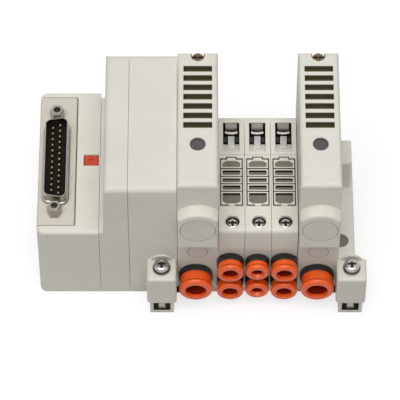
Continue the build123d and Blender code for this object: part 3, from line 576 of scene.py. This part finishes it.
# Each screw's ring has an inner and an outer radius, and a bottom and a top measured from the head.
screws = ([(f"clamp_screw_{i}", 0.00257, 0.00283, -0.0014, -0.0003) for i in (1, 2, 3)]
          + [(f"rail_screw_{side}", 0.00312, 0.00332, -0.0026, -0.0022) for side in ("left", "right")])
for name, inner, outer, ring_low, ring_high in screws:
    low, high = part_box(name)
    centre_x, centre_y, head = (low.x + high.x) / 2, (low.y + high.y) / 2, high.z
    body = "island" if name.startswith("clamp") else name
    cross_shade = mesh_from("screw_cross_shade", lambda work: cross_plate(work, centre_x, centre_y, head - RECESS_DROP,
                                                                RECESS_REACH, RECESS_HALF))
    # Painted shade: a dark cross in the screwdriver recess.
    mesh_piece(f"{name}_recess", cross_shade, port_shadow, body)
    shade_ring = mesh_from("screw_shade_ring", lambda work: flat_ring(work, centre_x, centre_y, head + ring_low,
                                                              head + ring_high, inner, outer))
    # Painted shade: a black ring in the gap round the head.
    mesh_piece(f"{name}_collar", shade_ring, stop_and_shade_black, body)

# ---- tube sockets and release rings' throats ----------------------------------------------------
# The sleeve inside each release ring is a darker red, painted shade in its bore. It lines the tube's way from
# the ring's mouth to its back end.
throat_painted_shade = finish_from(grain, "ring_throat_red_painted_shade", {"Colour": (0.330, 0.020, 0.003, 1),
                                                        "Shade": (0.220, 0.012, 0.002, 1), "Drift": 300.0,
                                                        "Smoothest": 0.40, "Roughest": 0.55}, POLISHED,
                             {"Specular IOR Level": 0.25})
TUBE_RADIUS = {"supply_ring": 0.00405, "port_ring_1": 0.00305, "port_ring_2": 0.00205, "port_ring_3": 0.00305}
THROAT_IN, THROAT_OUT, THROAT_WALL, THROAT_SIDES = 0.0013, 0.0100, 0.00008, 48
for name in sorted(n for n in nodes if n.startswith(("supply_ring", "port_ring"))):
    low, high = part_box(name)
    centre_x, centre_z, mouth = (low.x + high.x) / 2, (low.z + high.z) / 2, low.y
    radius = next(r for start, r in TUBE_RADIUS.items() if name.startswith(start)) - GAP

    def throat(work):
        turns = [2 * math.pi * k / THROAT_SIDES for k in range(THROAT_SIDES)]
        shape = ((radius, THROAT_IN), (radius, THROAT_OUT), (radius - THROAT_WALL, THROAT_OUT),
                 (radius - THROAT_WALL, THROAT_IN))
        ring_of_faces(work, [[(centre_x + r * math.cos(t), mouth + y, centre_z + r * math.sin(t))
                              for t in turns] for r, y in shape], closed=True)

    # Painted shade: the throat lining is darker than the ring for the shade in the bore.
    mesh_piece(f"{name}_throat", mesh_from("ring_throat", throat), throat_painted_shade, name)

# The groove behind each ring's flange is deep, and its floor is lined in a still darker red as painted shade.
WAIST = {"supply_ring": 0.00580, "port_ring_1": 0.00445, "port_ring_2": 0.00380, "port_ring_3": 0.00445}
GROOVE_NEAR, GROOVE_FAR, GROOVE_FILL = 0.00162, 0.00218, 0.00014
crease_painted_shade = finish_from(grain, "ring_crease_painted_shade", {"Colour": (0.110, 0.018, 0.006, 1),
                                                    "Shade": (0.060, 0.010, 0.004, 1),
                                                    "Smoothest": 0.55, "Roughest": 0.75}, SMOOTH,
                             {"Specular IOR Level": 0.2})


def collar_along_y(work, x, z, y0, y1, inner, outer, sides=64):
    """Ring with its axis along Y."""
    turns = [2 * math.pi * k / sides for k in range(sides)]
    ring_of_faces(work, [[(x + r * math.cos(t), y, z + r * math.sin(t)) for t in turns]
                         for r, y in ((outer, y0), (outer, y1), (inner, y1), (inner, y0))], closed=True)


for name in sorted(n for n in nodes if n.startswith(("supply_ring", "port_ring"))):
    low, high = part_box(name)
    waist = next(r for start, r in WAIST.items() if name.startswith(start)) + GAP
    groove = mesh_from("ring_groove", lambda work: collar_along_y(
        work, (low.x + high.x) / 2, (low.z + high.z) / 2, low.y + GROOVE_NEAR, low.y + GROOVE_FAR, waist,
        waist + GROOVE_FILL))
    # Painted shade: the darker lining stands for the shade in the groove.
    mesh_piece(f"{name}_groove", groove, crease_painted_shade, name)

# ---- blanking disc gap shade --------------------------------------------------------------------
# A thin near-black ring lies round each blanking disc, just under its face, and shows as a fine dark line: it is
# painted shade. It lies in the gap between the disc and its bore.
SEAL_IN, SEAL_OUT, SEAL_SINK, SEAL_DEEP = 0.00002, 0.00016, 0.00003, 0.0006
gap_ring_painted_shade = finish_from(grain, "disc_gap_shade", {"Colour": (0.026, 0.023, 0.018, 1),
                                               "Shade": (0.014, 0.012, 0.010, 1),
                                               "Smoothest": 0.60, "Roughest": 0.80}, SMOOTH,
                          {"Specular IOR Level": 0.2})
for name in sorted(n for n in nodes if n.startswith(("exhaust_plug", "pilot_plug"))):
    low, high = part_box(name)
    radius = (high.x - low.x) / 2
    gap_shade = mesh_from("disc_gap_shade", lambda work: collar_along_y(
        work, (low.x + high.x) / 2, (low.z + high.z) / 2, low.y + SEAL_SINK, low.y + SEAL_DEEP,
        radius + SEAL_IN, radius + SEAL_OUT))
    # Painted shade: the dark ring stands for the shade in the gap round the disc.
    mesh_piece(f"{name}_seal", gap_shade, gap_ring_painted_shade)

# ---- feet and end socket ------------------------------------------------------------------------
# Each foot has a window with a near-black lining, painted shade, where the light end of the zinc-plated clamp
# shows.
# The end block has one round blind socket with a brown-grey floor, darkened as painted shade.
FOOT_HALF, FOOT_Z0, FOOT_Z1, FOOT_IN, FOOT_DEEP, FOOT_SKIN = 0.0034, 0.0016, 0.0068, 0.0004, 0.0014, 0.0001
FOOT_OPEN, CLAMP_IN, CLAMP_LOW, CLAMP_TALL = 0.0015, 0.00178, 0.0033, 0.0021
CLAMP_THICK, CLAMP_HALF, CLAMP_CUT, CLAMP_ROUND = 0.0009, 0.0013, 0.0003, 0.00008
for side in ("left", "right"):
    low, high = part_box(f"rail_bracket_{side}")
    centre_x, front = (low.x + high.x) / 2, low.y

    def foot_shade_lining(work):
        half, deep = FOOT_HALF - GAP, front + FOOT_DEEP
        loops = [[(centre_x - w, y, z0), (centre_x + w, y, z0), (centre_x + w, y, z1), (centre_x - w, y, z1)]
                 for w, y, z0, z1 in ((half, front + FOOT_IN, FOOT_Z0 + GAP, FOOT_Z1 - GAP),
                                      (half, deep, FOOT_Z0 + GAP, FOOT_Z1 - GAP),
                                      (half - FOOT_SKIN, deep, FOOT_Z0 + FOOT_SKIN, FOOT_Z1 - FOOT_SKIN),
                                      (half - FOOT_SKIN, front + FOOT_IN, FOOT_Z0 + FOOT_SKIN,
                                       FOOT_Z1 - FOOT_SKIN))]
        ring_of_faces(work, loops, closed=True)
        for hand in (-1, 1):
            x0, x1 = sorted((centre_x + hand * FOOT_OPEN, centre_x + hand * (half - FOOT_SKIN - GAP)))
            z0, z1 = FOOT_Z0 + FOOT_SKIN + GAP, FOOT_Z1 - FOOT_SKIN - GAP
            prism(work, [(deep - FOOT_SKIN, z0), (deep, z0), (deep, z1), (deep - FOOT_SKIN, z1)], x0, x1)

    def clamp_end(work):
        back, tip, top = front + CLAMP_IN, front + CLAMP_IN - CLAMP_THICK, CLAMP_LOW + CLAMP_TALL
        prism(work, [(tip, CLAMP_LOW), (back, CLAMP_LOW), (back, top), (tip + CLAMP_CUT, top),
                     (tip, top - CLAMP_CUT)], centre_x - CLAMP_HALF, centre_x + CLAMP_HALF)

    softened(mesh_piece(f"clamp_end_{side}", mesh_from("clamp_end", clamp_end), zinc_steel,
                        f"rail_clamp_{side}"), CLAMP_ROUND)
    # Painted shade: the near-black lining stands for the shade in the foot's window.
    mesh_piece(f"foot_shade_lining_{side}", mesh_from("foot_shade_lining", foot_shade_lining), port_shadow)

SOCKET_X, SOCKET_Y, SOCKET_RADIUS, SOCKET_Z = 0.0010, 0.0086, 0.00315, 0.0232
SOCKET_THICK, SOCKET_HOLE = 0.0002, 0.0001
low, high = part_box("end_block")
socket_floor_painted_shade = mesh_from("socket_floor_painted_shade", lambda work: flat_ring(
    work, low.x + SOCKET_X, low.y + SOCKET_Y, SOCKET_Z - SOCKET_THICK, SOCKET_Z, SOCKET_HOLE, SOCKET_RADIUS))
# Painted shade: the socket floor is darkened for the shade deep in the socket.
mesh_piece("end_socket_floor_painted_shade", socket_floor_painted_shade, port_floor_painted_shade)

# ---- floor, lamps and camera --------------------------------------------------------------------
# A plain pale floor under soft overhead studio light, seen by a long lens from high in front. The floor
# and the sky read white wherever a camera, glossy or transmission ray meets them.
FLOOR_SIZE = 3.0
PAPER_LIT, PAPER_SEEN, PAPER_GLOW = (0.50, 0.50, 0.49, 1), (0.34, 0.34, 0.34, 1), 0.70
SKY_LIT, SKY_SEEN = (0.245, 0.245, 0.245, 1), (1.0, 1.0, 1.0, 1)


def background_rays(tree):
    """Factor that is 1 for the rays that look at the background: camera, glossy and transmission rays."""
    path = tree.nodes.new("ShaderNodeLightPath")
    shown = path.outputs["Is Camera Ray"]
    for ray in ("Is Glossy Ray", "Is Transmission Ray"):
        either = tree.nodes.new("ShaderNodeMath")
        either.operation = "MAXIMUM"
        tree.links.new(shown, either.inputs[0])
        tree.links.new(path.outputs[ray], either.inputs[1])
        shown = either.outputs["Value"]
    return shown


floor_mesh = bpy.data.meshes.new("floor")
half = FLOOR_SIZE / 2
floor_mesh.from_pydata(rectangle(-half, half, -half, half, 0), [], [(0, 1, 2, 3)])
floor = bpy.data.objects.new("floor", floor_mesh)
bpy.context.scene.collection.objects.link(floor)
floor_paper = bpy.data.materials.new("floor_paper")
floor_paper.use_nodes = True
paper_tree = floor_paper.node_tree
paper = paper_tree.nodes["Principled BSDF"]
paper.inputs["Roughness"].default_value = 0.9
paper.inputs["Specular IOR Level"].default_value = 0.1
seen = background_rays(paper_tree)
paper_colour = paper_tree.nodes.new("ShaderNodeMix")
paper_colour.data_type = "RGBA"
paper_colour.inputs[6].default_value = PAPER_LIT
paper_colour.inputs[7].default_value = PAPER_SEEN
paper_tree.links.new(seen, paper_colour.inputs["Factor"])
paper_tree.links.new(paper_colour.outputs[2], paper.inputs["Base Color"])
paper.inputs["Emission Color"].default_value = (1.0, 1.0, 1.0, 1)
paper_glow = paper_tree.nodes.new("ShaderNodeMath")
paper_glow.operation = "MULTIPLY"
paper_glow.inputs[1].default_value = PAPER_GLOW
paper_tree.links.new(seen, paper_glow.inputs[0])
paper_tree.links.new(paper_glow.outputs["Value"], paper.inputs["Emission Strength"])
floor_mesh.materials.append(floor_paper)

studio = bpy.data.worlds.new("studio")
bpy.context.scene.world = studio
studio.use_nodes = True
sky_tree = studio.node_tree
sky = sky_tree.nodes["Background"]
open_white = sky_tree.nodes.new("ShaderNodeMix")
open_white.data_type = "RGBA"
open_white.inputs[6].default_value = SKY_LIT
open_white.inputs[7].default_value = SKY_SEEN
sky_tree.links.new(background_rays(sky_tree), open_white.inputs["Factor"])
sky_tree.links.new(open_white.outputs[2], sky.inputs["Color"])

# Each lamp has a name, its tilt and turn in degrees, its strength and its spread in radians.
LAMPS = (("overhead", (12, -4), 2.10, 0.9), ("front_left", (40, -35), 0.24, 0.6))
for lamp_name, (tilt, turn), strength, spread in LAMPS:
    lamp = bpy.data.lights.new(lamp_name, "SUN")
    lamp.energy = strength
    lamp.angle = spread
    holder = bpy.data.objects.new(lamp_name, lamp)
    holder.rotation_euler = (math.radians(tilt), 0, math.radians(turn))
    bpy.context.scene.collection.objects.link(holder)

CAMERA_PLACE = Vector((-0.000875, -0.75805, 1.1049))
CAMERA_AIM = Vector((-0.000875, -0.01238, 0.040))
camera = bpy.data.objects.new("camera", bpy.data.cameras.new("camera"))
camera.data.lens = 294.0
camera.data.sensor_width = 36.0
camera.data.clip_end = 20.0
camera.location = CAMERA_PLACE
camera.rotation_euler = (CAMERA_AIM - CAMERA_PLACE).to_track_quat("-Z", "Y").to_euler()
bpy.context.scene.collection.objects.link(camera)
bpy.context.scene.camera = camera
bpy.context.scene.view_settings.view_transform = "Standard"
